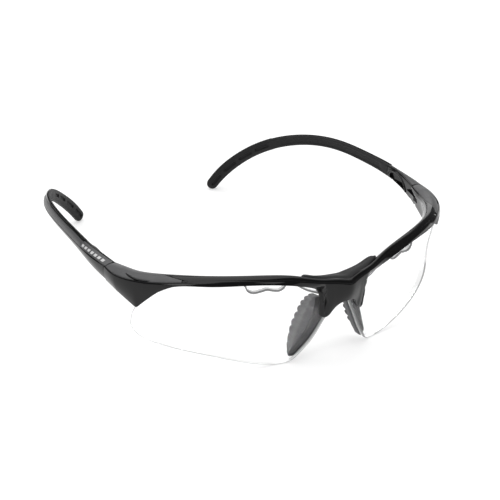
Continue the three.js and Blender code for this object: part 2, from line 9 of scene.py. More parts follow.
import bmesh
import bpy
import numpy as np
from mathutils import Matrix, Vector


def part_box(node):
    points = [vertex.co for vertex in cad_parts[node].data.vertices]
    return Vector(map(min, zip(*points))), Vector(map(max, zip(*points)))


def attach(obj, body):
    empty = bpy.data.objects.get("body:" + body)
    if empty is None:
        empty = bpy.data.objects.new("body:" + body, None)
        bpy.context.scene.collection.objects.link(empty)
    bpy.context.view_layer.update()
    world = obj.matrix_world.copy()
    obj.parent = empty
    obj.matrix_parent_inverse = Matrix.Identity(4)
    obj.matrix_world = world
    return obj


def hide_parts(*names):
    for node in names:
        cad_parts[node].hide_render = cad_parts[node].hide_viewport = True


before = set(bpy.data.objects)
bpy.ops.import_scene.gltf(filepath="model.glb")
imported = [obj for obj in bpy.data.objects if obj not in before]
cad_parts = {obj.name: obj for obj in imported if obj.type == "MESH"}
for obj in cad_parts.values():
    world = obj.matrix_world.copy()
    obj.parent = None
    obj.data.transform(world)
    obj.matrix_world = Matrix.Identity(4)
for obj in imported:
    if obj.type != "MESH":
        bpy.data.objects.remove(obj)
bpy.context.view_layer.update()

MM = 0.001
JOINT_GAP = 0.15  # each side of the joint line
LENS_FOOT = -34.0  # lowest edge of the lenses
SHIFT = np.array(
    [0.0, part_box("front_frame")[1].y / MM + JOINT_GAP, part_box("lens_left")[0].z / MM - LENS_FOOT]
)
SIDES = (("left", 1.0), ("right", -1.0))


# ------------------------ curves
class Spline:
    """Smooth curve through rows of numbers at rising knots."""

    def __init__(self, knots, rows):
        self.x = np.array(knots, float)
        self.y = np.array(rows, float)
        if self.y.ndim == 1:
            self.y = self.y[:, None]
        n, h = len(self.x), np.diff(self.x)
        left, right = np.eye(n), np.zeros_like(self.y)
        for i in range(1, n - 1):
            left[i, i - 1], left[i, i], left[i, i + 1] = h[i - 1], 2 * (h[i - 1] + h[i]), h[i]
            right[i] = 3 * ((self.y[i + 1] - self.y[i]) / h[i] - (self.y[i] - self.y[i - 1]) / h[i - 1])
        self.c = np.linalg.solve(left, right)
        self.h = h

    def __call__(self, at):
        at = np.asarray(at, float)
        i = np.clip(np.searchsorted(self.x, at, side="right") - 1, 0, len(self.h) - 1)
        h, t = self.h[i][..., None], (at - self.x[i])[..., None]
        b = (self.y[i + 1] - self.y[i]) / h - h * (2 * self.c[i] + self.c[i + 1]) / 3
        d = (self.c[i + 1] - self.c[i]) / (3 * h)
        return self.y[i] + b * t + self.c[i] * t**2 + d * t**3


def chord(rows):
    rows = np.array(rows, float)
    return np.concatenate([[0], np.cumsum(np.linalg.norm(np.diff(rows, axis=0), axis=1))])


def both_sides(knots, rows):
    """A rail given from the centre plane outward, carried across to the other side."""
    knots, rows = np.array(knots, float), np.array(rows, float)
    flipped = rows[:0:-1] * [-1, 1, 1]
    return Spline(np.concatenate([-knots[:0:-1], knots]), np.vstack([flipped, rows]))


def ramp(rows, at):
    rows = np.array(rows, float)
    return np.interp(at, rows[:, 0], rows[:, 1])


def smoothstep(low, high, at):
    t = np.clip((np.asarray(at, float) - low) / (high - low), 0, 1)
    return t * t * (3 - 2 * t)


def unit(v):
    return v / max(np.linalg.norm(v), 1e-12)


def rounded(corners, steps=4):
    """A closed outline from (point, radius) pairs, with its corners rounded off."""
    points = [np.array(p, float) for p, _ in corners]
    out = []
    for i, (p, (_, radius)) in enumerate(zip(points, corners)):
        if radius == 0:
            out.append(p)
            continue
        before, after = points[i - 1] - p, points[(i + 1) % len(points)] - p
        reach = min(radius, 0.45 * np.linalg.norm(before), 0.45 * np.linalg.norm(after))
        a, b = p + unit(before) * reach, p + unit(after) * reach
        for k in range(steps + 1):
            t = k / steps
            out.append(a * (1 - t) ** 2 + 2 * p * t * (1 - t) + b * t**2)
    return out


# ------------------------ meshes
def place(points):
    return (np.asarray(points, float) + SHIFT) * MM


def finish_mesh(mesh, angle=38):
    made = bmesh.new()
    made.from_mesh(mesh)
    bmesh.ops.remove_doubles(made, verts=made.verts, dist=1e-7)
    bmesh.ops.dissolve_degenerate(made, edges=made.edges, dist=1e-7)
    bmesh.ops.recalc_face_normals(made, faces=made.faces)
    made.to_mesh(mesh)
    made.free()
    mesh.polygons.foreach_set("use_smooth", [True] * len(mesh.polygons))
    mesh.set_sharp_from_angle(angle=math.radians(angle))
    mesh.update()


def mesh_object(name, points, faces, uv=None, slots=None):
    mesh = bpy.data.meshes.new(name)
    mesh.from_pydata(place(points).tolist(), [], faces)
    if slots is not None:
        mesh.polygons.foreach_set("material_index", slots)
    if uv is not None:
        layer = mesh.uv_layers.new(name="uv")
        corners = np.zeros(len(mesh.loops), np.int32)
        mesh.loops.foreach_get("vertex_index", corners)
        layer.data.foreach_set("uv", np.array(uv, np.float32)[corners].ravel())
    finish_mesh(mesh)
    made = bpy.data.objects.new(name, mesh)
    bpy.context.scene.collection.objects.link(made)
    return made


def loft(name, rings, uv=None):
    """A closed skin over rings with equal numbers of points, its two ends filled in."""
    rings = np.array(rings, float)
    count, around = rings.shape[:2]
    faces = []
    for i in range(count - 1):
        for j in range(around):
            k = (j + 1) % around
            faces.append((i * around + j, i * around + k, (i + 1) * around + k, (i + 1) * around + j))
    points = rings.reshape(-1, 3)
    for first, ring in ((0, rings[0]), ((count - 1) * around, rings[-1])):
        middle = len(points)
        points = np.vstack([points, ring.mean(0)])
        if uv is not None:
            uv = list(uv) + [uv[first]]
        faces += [(first + j, first + (j + 1) % around, middle) for j in range(around)]
    return mesh_object(name, points, faces, uv)


def prism(name, outline, low, high):
    """An upright prism on an outline in x and y."""
    n = len(outline)
    points = [(x, y, low) for x, y in outline] + [(x, y, high) for x, y in outline]
    faces = [tuple(range(n)), tuple(range(2 * n - 1, n - 1, -1))]
    faces += [(i, (i + 1) % n, n + (i + 1) % n, n + i) for i in range(n)]
    return mesh_object(name, points, faces)


def circle(x, y, radius, sides=40):
    angles = [2 * math.pi * i / sides for i in range(sides)]
    return [(x + radius * math.cos(a), y + radius * math.sin(a)) for a in angles]


def carve(target, cutter, operation="DIFFERENCE"):
    """Cuts one object with another, which is used up."""
    step = target.modifiers.new("cut", "BOOLEAN")
    step.operation, step.solver, step.object = operation, "EXACT", cutter
    shown = target.evaluated_get(bpy.context.evaluated_depsgraph_get())
    mesh = bpy.data.meshes.new_from_object(shown)
    target.modifiers.clear()
    old, target.data = target.data, mesh
    bpy.data.meshes.remove(old)
    bpy.data.objects.remove(cutter)
    finish_mesh(mesh)


def mirror_copy(source, name):
    mesh = source.data.copy()
    coords = np.zeros(len(mesh.vertices) * 3)
    mesh.vertices.foreach_get("co", coords)
    coords[0::3] *= -1
    mesh.vertices.foreach_set("co", coords)
    mesh.flip_normals()
    mesh.update()
    made = bpy.data.objects.new(name, mesh)
    bpy.context.scene.collection.objects.link(made)
    return made


# ------------------------ lens
LENS_CENTRE = np.array([6.4, 20.7, -5.6])
LENS_OUTER = 67.8
LENS_INNER = 65.6
# Azimuth in degrees and height round the edge: the bottom from nose to temple, then the top back again.
LENS_EDGE = [
    (-2.4, -10), (-1.4, -14), (0.6, -19), (3.2, -25), (6.8, -31), (8.4, -33.1), (10.4, LENS_FOOT),
    (14, LENS_FOOT), (20, -32.8), (28, -30.2), (37, -27.5), (49, -25.3), (54, -24.4), (57.6, -23.3),
    (59.9, -21.4), (60.9, -18.6), (60.4, -15.5), (59, -11.4), (57, -8), (54, -4.6), (50, -1.6), (46, 0.8),
    (42, 2.4), (36, 3.1), (27.4, 3), (24.9, 2), (23.9, -0.1), (22.4, -0.9), (20.2, -0.5), (18.4, -0.1),
    (16.4, -0.7), (14.9, -0.9), (13.6, -0.2), (12.4, 1.6), (10.4, 1), (6, -2.6), (1, -5.4), (-1.6, -7.2),
]
LENS_HUB = (20, -14)
LENS_SHARES = (0.985, 0.95, 0.88, 0.76, 0.6, 0.42, 0.22)  # loops between the rim and the hub
LENS_RIM = 0.5  # rounding of the lens's edge
LENS_STEP = 0.45
# Beside the clear face, the slots paint the edge: a faint grey on the rim band, a dark line on the front
# rounding, a pale highlight on the top and nose edges, and a fainter line at the temple end.
FACE, EDGE, PAINTED_EDGE_SHADE, PAINTED_EDGE_HIGHLIGHT, PAINTED_FAINT_SHADE = 0, 1, 2, 3, 4  # its material slots
# The nose edge keeps its painted highlight up to the first azimuth; from the second, the painted line on
# the front rounding turns fainter.
NOSE_UP_TO, TEMPLE_FROM = 9, 54  # azimuths that end the nose edge and start the temple end


def lens_point(azimuth, z, radius):
    level = np.sqrt(radius**2 - (z - LENS_CENTRE[2]) ** 2)
    angle = np.radians(azimuth)
    x = LENS_CENTRE[0] + level * np.sin(angle)
    y = LENS_CENTRE[1] - level * np.cos(angle)
    return np.stack([x, y, z + 0 * x], axis=-1)


def lens_outline():
    """Even points round the edge, in degrees and millimetres, and the inward direction at each."""
    scale = np.array([math.radians(1) * LENS_OUTER, 1.0])
    rows = np.array(LENS_EDGE, float) * scale
    fine = []
    for i in range(len(rows)):
        a, b, c, d = (rows[(i + k) % len(rows)] for k in (-1, 0, 1, 2))
        for t in np.arange(0, 1, 0.05):
            square, cube = 2 * a - 5 * b + 4 * c - d, 3 * b - a - 3 * c + d
            fine.append(0.5 * (2 * b + (c - a) * t + square * t**2 + cube * t**3))
    fine = np.array(fine + fine[:1])
    length = chord(fine)
    at = np.linspace(0, length[-1], int(length[-1] / LENS_STEP), endpoint=False)
    even = np.stack([np.interp(at, length, fine[:, k]) for k in (0, 1)], axis=1)
    along = np.roll(even, -1, axis=0) - np.roll(even, 1, axis=0)
    along /= np.linalg.norm(along, axis=1)[:, None]
    return even, np.stack([-along[:, 1], along[:, 0]], axis=1), scale


def lens_slot(loop, first, edge, last, azimuth, inward):
    """Material slot of a face: a painted dark line on the front rounding, fainter at the temple end; a
    painted highlight on the flat rim of the top and nose edges; a faint painted grey on the rest of the
    flat rim and the rear rounding; or a lens face.
    """
    # the front rounding is painted as a dark line, fainter at the temple end
    if first <= loop < edge:
        return PAINTED_EDGE_SHADE if azimuth < TEMPLE_FROM else PAINTED_FAINT_SHADE
    # the rim band of the top and nose edges is painted as a pale highlight
    if loop == edge and (inward[1] < -0.5 or inward[0] > 0.5 and azimuth < NOSE_UP_TO):
        return PAINTED_EDGE_HIGHLIGHT
    # the rest of the rim band and the rear rounding take a faint painted grey
    return EDGE if edge <= loop < last else FACE


def lens_solid(name, grow=0.0):
    """A lens with a rounded edge, between two spheres; grow makes it larger all round."""
    even, inward, scale = lens_outline()
    hub = np.array(LENS_HUB, float) * scale
    outer, inner = LENS_OUTER + grow, LENS_INNER - grow
    start = even + inward * (LENS_RIM - grow)
    turns = [math.radians(a) for a in (0, 22.5, 45, 67.5, 90)]

    def rim(turn, radius, side):
        flat = even + inward * (LENS_RIM * (1 - math.sin(turn)) - grow)
        return flat, radius + side * LENS_RIM * (1 - math.cos(turn))

    loops = [(hub + (start - hub) * share, outer) for share in reversed(LENS_SHARES)]
    loops += [rim(turn, outer, -1) for turn in turns]
    loops += [rim(turn, inner, 1) for turn in reversed(turns)]
    loops += [(hub + (start - hub) * share, inner) for share in LENS_SHARES]
    points = np.vstack([lens_point(flat[:, 0] / scale[0], flat[:, 1], radius) for flat, radius in loops])
    faces, slots, n = [], [], len(even)
    first_turn = len(LENS_SHARES)
    edge = first_turn + len(turns) - 1  # the band between the two rounded edges
    for i in range(len(loops) - 1):
        for j in range(n):
            k = (j + 1) % n
            faces.append((i * n + j, i * n + k, (i + 1) * n + k, (i + 1) * n + j))
            azimuth = even[j][0] / scale[0]
            slots.append(lens_slot(i, first_turn, edge, edge + len(turns), azimuth, inward[j]))
    last = (len(loops) - 1) * n
    hub_azimuth, hub_z = np.array(LENS_HUB[:1]), np.array(LENS_HUB[1:])
    for first, radius in ((0, outer), (last, inner)):
        middle = len(points)
        points = np.vstack([points, lens_point(hub_azimuth, hub_z, radius)])
        faces += [(first + j, first + (j + 1) % n, middle) for j in range(n)]
        slots += [FACE] * n
    return mesh_object(name, points, faces, slots=slots)


# ------------------------ front frame
# Three rails from the centre plane to the joint line: the ridge over the front face, the crest on top
# and the heel behind it. A station is a place along all three, 0 at the centre and 8 at the joint line.
STATIONS = [0, 0.25, 1, 2, 3, 4, 5, 6, 7, 8]
RIDGE = [
    (0, -53.9, -0.8), (2.5, -53.2, -0.45), (10, -50.8, 0.6), (20, -47, 2.3), (34, -42.1, 3.6),
    (47.2, -35.4, 3.8), (57.8, -25.7, 2), (64.6, -15.8, 0.3), (67.9, -7, -0.3), (68.2, -JOINT_GAP, 0),
]
CREST = [
    (0, -52.4, 0.8), (2.45, -51.8, 1.1), (9.8, -49.6, 2), (19.3, -45.4, 4), (32.7, -39.8, 5),
    (45.2, -32.9, 5.1), (53.4, -23.3, 3.5), (58.8, -13.6, 1.4), (61.4, -6, 0.5), (63.4, -JOINT_GAP, 0.3),
]
HEEL = [
    (0, -50, 0.5), (2.3, -49.5, 0.8), (9.2, -47.9, 1.4), (18.9, -44.4, 3), (32.2, -38.9, 4),
    (44.6, -32.1, 4.1), (52.8, -22.8, 2.2), (58.5, -13.4, 0.2), (61.2, -5.9, -0.7),
    (63.4, -JOINT_GAP, -0.9),
]
# Lower front edge and lower rear edge from the centre down round the nose arm and out to the lug's point.
LIP_AND_SOLE = [
    ((0, -52.3, -7.7), (0, -49.4, -7.9)),
    ((1.7, -52, -7.9), (1.7, -48.9, -8.4)),
    ((3.5, -51.1, -9.1), (3.5, -47.9, -9.7)),
    ((5.1, -49.9, -11.6), (5.1, -46.8, -11.9)),
    ((5.9, -49.4, -13.1), (5.9, -46.4, -13.2)),
    ((6.7, -48.9, -14.1), (6.7, -46.2, -14)),
    ((7.7, -48.6, -14.3), (7.6, -46.2, -14.2)),
    ((8.8, -48.1, -13.5), (8.7, -46.1, -13.4)),
    ((9.25, -47.7, -12), (9.15, -45.9, -12)),
    ((9.15, -47.4, -9.6), (9.05, -45.6, -9.5)),
    ((9.05, -47.3, -7.2), (8.95, -45.3, -7.1)),
    ((9.5, -47.4, -4.7), (9.3, -45.2, -4.6)),
    ((11, -48.2, -2.5), (10.7, -45.3, -2.3)),
    ((14, -48.3, -0.9), (13.5, -45, -0.6)),
    ((20, -47.5, 1), (18.8, -43.9, 1.4)),
    ((34, -42.7, 2.65), (32, -38.5, 2.7)),
    ((47.2, -36.1, 2.7), (44.4, -31.8, 2.6)),
    ((57.4, -26.4, 0.45), (52.6, -22.5, 0.5)),
    ((60.9, -21.8, -3.8), (56.8, -18.4, -3.5)),
    ((64.4, -16.6, -9.8), (60.4, -13.8, -9)),
]
LIP_STATIONS = (2, 3, 4, 5, 5.5, 6)  # of the last six rows above
# The same two edges at stations 7 and 8.
BEYOND = [((67.1, -7.6, -6.6), (62, -6, -6.5)), ((67.6, -JOINT_GAP, -5.7), (63.5, -JOINT_GAP, -5.5))]
LUG_STEPS = 40  # rings from the lug's point to the joint line
# How far the strip between ridge and crest bulges up, by station.
CROWN = [(0, 0.1), (1, 0.2), (2, 0.4), (3, 0.5), (4, 0.6), (5, 1), (6, 1.4), (7, 1.3), (8, 0.5)]
# The trim panel's recess: where its rear edge lies across the strip, and how deep it is, by station.
RECESS_FRONT = 0.3  # mm behind the ridge
RECESS_REAR = [(0, 0.3), (4.5, 0.22), (4.8, 0.42), (5.1, 0.64), (5.4, 0.84), (5.7, 0.94), (8, 0.94)]
RECESS_DEPTH = [(0, 0.02), (4.4, 0.02), (4.65, 0.55), (8, 0.55)]
RECESS_WALL = 0.015  # share of the strip's width that the recess's side wall takes
PANEL_GAP = 0.14  # between a trim panel and the sides of its recess
PANEL_SINK = 0.02  # the panel's face below its surroundings
PANEL_REST = 0.06  # under the panel
FACE_BULGE = 0.5
ARM_WAIST = 1.2  # how far the outer side of a nose arm is hollowed
# The contour line beside a nose arm's outer edge: height, distance from the centre plane.
GROOVE = [(-14, 6.7), (-12, 7.6), (-9.6, 7.6), (-7.2, 7.65), (-4.7, 8.2), (-2.5, 9.5), (-1, 11)]
GROOVE_DEPTH, GROOVE_WIDTH = 0.6, 0.4

ridge_rail, crest_rail, heel_rail = (both_sides(STATIONS, rows) for rows in (RIDGE, CREST, HEEL))


def strip_point(station, share, sink=0.0):
    """Point on the strip between ridge and crest, sunk by some millimetres."""
    station = float(station)
    ridge, crest = ridge_rail(station), crest_rail(station)
    across = unit(crest - ridge)
    up = unit(np.array([0, 0, 1.0]) - across * across[2])
    crown = ramp(CROWN, abs(station))
    point = ridge + (crest - ridge) * share + np.array([0, 0, crown * 4 * share * (1 - share)])
    return point - up * sink


def recess_shares(station):
    width = np.linalg.norm(crest_rail(station) - ridge_rail(station))
    return RECESS_FRONT / width, float(ramp(RECESS_REAR, abs(station))), width


def arm_groove(point):
    """Depth of the contour line at a point of the front face."""
    x, z = abs(point[0]), point[2]
    fade = smoothstep(-13.6, -12.2, z) * (1 - smoothstep(-3.2, -1.4, z))
    return GROOVE_DEPTH * fade * math.exp(-(((x - ramp(GROOVE, z)) / GROOVE_WIDTH) ** 2))


def arm_waist(x):
    """How far a ring whose lower edge lies at x is drawn in beside a nose arm."""
    fade = float(smoothstep(7.9, 9, abs(x)) * (1 - smoothstep(9.4, 12, abs(x))))
    return ARM_WAIST * fade * math.copysign(1, x)


def front_face(lip, ridge):
    """Corners up the front face, bulging a little."""
    corners = []
    bulge = min(FACE_BULGE, np.linalg.norm(ridge - lip) * 0.08)
    drawn_in = np.array([arm_waist(lip[0]), 0, 0])
    for k in range(1, 16):
        t = k / 16
        p = lip + (ridge - lip) * t
        out = unit(np.array([p[0] * 0.9, p[1], 0]))
        p = p + (out * bulge - drawn_in) * 4 * t * (1 - t)
        p[1] += arm_groove(p)
        corners.append((p, 0))
    return corners


def strip_corners(station):
    """Corners over the strip behind the ridge, with the trim panel's recess in it."""
    front, rear, _ = recess_shares(station)
    depth = float(ramp(RECESS_DEPTH, abs(station)))
    inner_shares = [front + (rear - front) * k / 4 for k in (1, 2, 3)]
    floor_shares = [front + RECESS_WALL, *inner_shares, rear - RECESS_WALL]
    corners = [(strip_point(station, front), 0.05)]
    corners += [(strip_point(station, share, depth), 0) for share in floor_shares]
    corners.append((strip_point(station, rear), 0.05))
    corners += [(strip_point(station, rear + (1 - rear) * k / 3), 0) for k in (1, 2)]
    return corners


def front_ring(station, lip, sole):
    """Section of the front frame: lower front edge, face, ridge, strip, crest, heel and sole."""
    ridge, crest, heel = ridge_rail(station), crest_rail(station), heel_rail(station)
    corners = [(lip, 0.45 + 0.4 * float(smoothstep(4.2, 5.2, abs(station))))]
    corners += front_face(lip, ridge)
    corners += [(ridge, 0.2), *strip_corners(station)]
    corners += [(crest, 0.3), (heel, 0.35)]
    corners += [(heel + (sole - heel) * k / 3, 0) for k in (1, 2)]
    corners += [(sole, 0.35), ((sole + lip) / 2, 0)]
    return rounded(corners)


def lug_edge(column):
    """Points on a lower edge from the lug's point to the joint line."""
    ends = [np.array(pair[column], float) for pair in (LIP_AND_SOLE[-1], *BEYOND)]
    points = []
    for k in range(1, LUG_STEPS + 1):
        at = 2 * k / LUG_STEPS
        i = min(int(at), 1)
        points.append(ends[i] + (ends[i + 1] - ends[i]) * (at - i))
    return points


def blunt(rail, first, last):
    """Rounds the lug's point a little."""
    for _ in range(3):
        before, after = rail[first - 1 : last - 1], rail[first + 1 : last + 1]
        rail[first:last] = (before + 2 * rail[first:last] + after) / 4


def front_rings():
    rows = np.array([pair[0] for pair in LIP_AND_SOLE], float)
    knots = chord(rows)
    lip_rail = both_sides(knots, rows)
    sole_rail = both_sides(knots, [pair[1] for pair in LIP_AND_SOLE])
    bridge_end = knots[-len(LIP_STATIONS)]
    central = np.arange(0, bridge_end, 0.22)
    outer = np.linspace(bridge_end, knots[-1], 130)
    at = np.concatenate([central, outer])
    lips = np.vstack([lip_rail(at), lug_edge(0)])
    soles = np.vstack([sole_rail(at), lug_edge(1)])
    for rail in (lips, soles):
        blunt(rail, len(central) + 60, len(rail) - 30)
    # Round the nose arm, the station follows the furthest that the lower edge has reached.
    table = np.linspace(0, 3, 1200)
    reach = np.maximum.accumulate(lips[: len(central), 0])
    stations = [*np.interp(reach, ridge_rail(table)[:, 0], table)]
    stations += [*np.interp(outer, knots[-len(LIP_STATIONS) :], LIP_STATIONS)]
    stations += [LIP_STATIONS[-1] + 2 * k / LUG_STEPS for k in range(1, LUG_STEPS + 1)]
    half = [*zip(stations, lips, soles)]
    flipped = [(-s, lip * [-1, 1, 1], sole * [-1, 1, 1]) for s, lip, sole in half[:0:-1]]
    return [front_ring(*row) for row in flipped + half]


# ------------------------ hinge
PIVOT = (63.8, -4.6)
TONGUE_TOP, TONGUE_BOTTOM, TONGUE_RADIUS = -2.1, -3.6, 2.3
HOLE, HEAD, POCKET = 0.9, 1.7, 1.9  # radii for the screw, its head and the insert
HEAD_TOP, POCKET_TOP = -4.9, -0.5
HINGE_CLEARANCE = 0.3


def hinge_cutters():
    """Room for the temple's eye to turn in, and bores for the screw, its head and the insert."""
    x, y = PIVOT
    r = TONGUE_RADIUS + HINGE_CLEARANCE
    low, high = TONGUE_BOTTOM - HINGE_CLEARANCE, TONGUE_TOP + HINGE_CLEARANCE
    sweep = [(x - 6, y - r), (x, y - r)]
    sweep += [(x + r * math.sin(a), y - r * math.cos(a)) for a in np.radians(np.arange(9, 90, 9))]
    sweep += [(x + r, y), (x + r, 1), (x - 6, 1)]
    return [
        prism("eye_room", sweep, low, high),
        prism("hole", circle(x, y, HOLE), -8, TONGUE_TOP + 0.1),
        prism("head", circle(x, y, HEAD), -12, HEAD_TOP),
        prism("pocket", circle(x, y, POCKET), TONGUE_TOP, POCKET_TOP),
    ]


def hinge_eye():
    """The temple's part of the hinge."""
    x, y = PIVOT
    angles = np.radians(np.arange(150, 391, 8))
    outline = [(x + TONGUE_RADIUS * math.cos(a), y + TONGUE_RADIUS * math.sin(a)) for a in angles]
    outline += [(x + TONGUE_RADIUS, 2.6), (x - 0.6, 2.6)]
    eye = prism("eye", outline, TONGUE_BOTTOM, TONGUE_TOP)
    carve(eye, prism("hole", circle(x, y, HOLE), -8, 2))
    return eye


# ------------------------ trim panels
# The curved slit in the top of the end piece.
SLIT = [(64.9, -10.4), (64.5, -13.4), (63.2, -17), (60.6, -21)]
SLIT_WIDTH = 0.66
SLIT_TOP = 6


def slit_cutter(low):
    line = Spline(chord(SLIT), SLIT)
    at = np.linspace(0, chord(SLIT)[-1], 24)
    middle = line(at)
    along = np.gradient(middle, axis=0)
    along /= np.linalg.norm(along, axis=1)[:, None]
    side = np.stack([-along[:, 1], along[:, 0]], axis=1)
    reach = (SLIT_WIDTH / 2 * np.sqrt(np.maximum(0.02, 1 - np.abs(2 * at / at[-1] - 1) ** 3)))[:, None]
    return prism("slit", np.vstack([middle + side * reach, (middle - side * reach)[::-1]]), low, SLIT_TOP)


def panel_ring(point, low, high, depth):
    """Section of a trim panel; point(share, sink) finds a place on the strip that it lies in."""
    face = [(point(low + (high - low) * k / 8, PANEL_SINK), 0.1 if k in (0, 8) else 0) for k in range(9)]
    base = [(point(low + (high - low) * k / 4, depth), 0) for k in range(4, -1, -1)]
    return rounded(face + base, steps=3)


def panel_span(front, rear, width):
    """Shares across the strip that the panel fills, a gap away from the sides of its recess."""
    gap = PANEL_GAP / width
    return front + gap, max(rear - gap, front + gap + 0.02)


def brow_panel():
    rings, uv = [], []
    for station in np.linspace(4.58, 7.94, 90):
        low, high = panel_span(*recess_shares(station))
        depth = float(ramp(RECESS_DEPTH, station)) - PANEL_REST
        ring = panel_ring(lambda share, sink: strip_point(station, share, sink), low, high, depth)
        rings.append(ring)
        along = np.linalg.norm(ridge_rail(station) - ridge_rail(8.0))
        uv += [(along, j / len(ring)) for j in range(len(ring))]
    return loft("brow_trim_panel_left", rings, uv)


# ------------------------ temples
# x, y, z, width, height, ridge rise, crest offset
TEMPLE = [
    (65.6, -1.5, -3.05, 4.7, 6.4, 3.05, -2.35),
    (66.9, 8, -1.7, 4.2, 6, 1.5, -1.8),
    (66.9, 22, -0.7, 3.1, 5.4, -0.5, -0.5),
    (66, 36, -0.8, 2.7, 5, -1, 0),
    (64.6, 50, -1.4, 2.7, 4.8, -1.2, 0),
    (61.6, 63.4, -3.1, 2.7, 4.7, -1.4, 0),
    (56.4, 76, -6.4, 2.8, 4.8, -1.4, 0),
    (49.5, 87.3, -11.8, 3.1, 4.9, -1.4, 0),
    (41.8, 96.4, -19.6, 3.3, 5, -1.2, 0),
    (35, 101.3, -27.5, 3.3, 5, -1, 0),
    (30.9, 103.4, -33.45, 3.2, 4.6, -1, 0),
]
temple_rail = Spline(chord([row[:3] for row in TEMPLE]), TEMPLE)
TEMPLE_LENGTH = temple_rail.x[-1]
temple_fine = np.linspace(0, TEMPLE_LENGTH, 1500)
temple_fine_y = temple_rail(temple_fine)[:, 1]


def reach_of(y):
    """Distance along the temple at which it lies that far behind the joint."""
    return float(np.interp(y, temple_fine_y, temple_fine))


PAD_START = reach_of(19)
SLEEVE_START = reach_of(84)
PANEL_END = reach_of(71)
PANEL_ROUND = 3.2  # length over which the panel's rear end closes
SEAM = -0.4  # between shell and rubber, from the temple's middle outward
TEMPLE_CROWN = 0.45
TEMPLE_RECESS = 0.5
TIP_ROUND = 2.5


class Section:
    """Local axes and sizes of the temple at a distance along it."""

    def __init__(self, at):
        row = temple_rail(at)
        step = 0.05
        along = unit((temple_rail(at + step) - temple_rail(at - step))[:3])
        self.centre = row[:3]
        self.out = unit(np.array([along[1], -along[0], 0]))
        self.up = unit(np.cross(self.out, along))
        if self.up[2] < 0:
            self.up = -self.up
        self.half, self.top, self.rise, self.offset = row[3] / 2, row[4] / 2, row[5], row[6]

    def point(self, o, u):
        return self.centre + self.out * o + self.up * u

    def crest(self, seam):
        """The crest, which stays outside the seam where the temple is lined with rubber."""
        return np.array([self.offset if seam is None else max(self.offset, seam + 0.15), self.top])

    def strip(self, share, sink, seam):
        """Point on the strip; share runs from the ridge to the crest."""
        ridge = np.array([self.half, self.rise])
        across = self.crest(seam) - ridge
        out = unit(np.array([across[1], -across[0]]))
        bulge = TEMPLE_CROWN * 4 * share * (1 - share)
        return ridge + across * share + out * (bulge - sink)

    def width(self):
        return float(np.hypot(self.half - self.offset, self.top - self.rise))


def seam_at(at):
    """Where the shell ends towards the rubber, or None in front of the rubber."""
    return SEAM + 0.15 if at > PAD_START - 0.3 else None


def panel_shares(at, section):
    """The trim recess's edges across the strip, closing in a round end."""
    width = section.width()
    front, rear = 0.32 / width, 1 - 0.55 / width
    left = (PANEL_END - at) / PANEL_ROUND
    close = 0.0 if left >= 1 else 1 - math.sqrt(max(0.0, 1 - (1 - max(left, 0)) ** 2))
    middle = (front + rear) / 2
    return front + (middle - 0.02 - front) * close, rear + (middle + 0.02 - rear) * close


def temple_body_ring(at):
    """Section of the shell: outer face, strip with the recess, and the wearer's side or the seam."""
    s = Section(at)
    seam = seam_at(at)
    lined = seam is not None
    inner = seam if lined else -s.half
    bottom = np.array([max(s.half * 0.55, inner + 0.5), -s.top])
    ridge = np.array([s.half, s.rise])
    front, rear = panel_shares(at, s)
    depth = TEMPLE_RECESS if at < PANEL_END else 0.02
    corners = [(bottom, 0.3)]
    face = ridge - bottom
    out = unit(np.array([face[1], -face[0]]))
    bulge = min(0.35, np.hypot(*face) * 0.07)
    for k in range(1, 8):
        t = k / 8
        corners.append((bottom + face * t + out * bulge * 4 * t * (1 - t), 0))
    corners += [(ridge, 0.18), (s.strip(front, 0, seam), 0.05)]
    corners.append((s.strip(front + RECESS_WALL, depth, seam), 0))
    corners += [(s.strip(front + (rear - front) * k / 4, depth, seam), 0) for k in (1, 2, 3)]
    corners += [(s.strip(rear - RECESS_WALL, depth, seam), 0), (s.strip(rear, 0, seam), 0.05)]
    corners.append((s.crest(seam), 0.25))
    drop, radius = (0.35, 0.1) if lined else (0.6, 0.3)
    corners.append((np.array([inner, s.top - drop]), radius))
    corners.append((np.array([inner, 0.0]), 0))
    corners.append((np.array([inner, -s.top + drop]), radius))
    return [s.point(*p) for p in rounded(corners)]


def temple_body():
    start, end = reach_of(JOINT_GAP), SLEEVE_START - 0.3
    step = PAD_START - 0.3
    stops = np.concatenate(
        [
            np.linspace(start, step, 45),
            [step + 0.01],
            np.linspace(step + 0.5, PANEL_END - PANEL_ROUND - 0.1, 110),
            np.linspace(PANEL_END - PANEL_ROUND, PANEL_END - 0.001, 30),
            np.linspace(PANEL_END + 0.001, end, 30),
        ]
    )
    rings = np.array([temple_body_ring(at) for at in stops])
    # The first ring is brought into the joint's upright plane, and rings that would cross it are left out.
    rings[0, :, 1] = JOINT_GAP
    keep = [0] + [i for i in range(1, len(stops)) if rings[i, :, 1].min() > JOINT_GAP + 0.05]
    return loft("temple_arm_shell_left", rings[keep])


def temple_panel():
    rings, uv = [], []
    straight = np.linspace(reach_of(0.6), PANEL_END - PANEL_ROUND - 0.2, 110)
    closing = np.linspace(PANEL_END - PANEL_ROUND - 0.1, PANEL_END - 0.25, 26)
    for at in (*straight, *closing):
        s = Section(at)
        seam = seam_at(at)
        low, high = panel_span(*panel_shares(min(at + PANEL_GAP, PANEL_END), s), s.width())
        outline = panel_ring(
            lambda share, sink: s.strip(share, sink, seam), low, high, TEMPLE_RECESS - PANEL_REST
        )
        rings.append([s.point(*p) for p in outline])
        uv += [(at, j / len(outline)) for j in range(len(outline))]
    return loft("temple_trim_panel_left", rings, uv)


# A shallow channel along the liner, and slots in the sleeve near the tip.
CHANNEL_HALF, CHANNEL_DEPTH = 1.05, 0.28
SLOT_MIDDLES = (5.4, 14.3, 23.4, 32.6)  # mm back from the tip
SLOT_LENGTHS = (6.2, 6.8, 7.2, 7.2)
SLOT_HALF, SLOT_DEPTH = 0.58, 0.6
SLEEVE_SIDES = 88


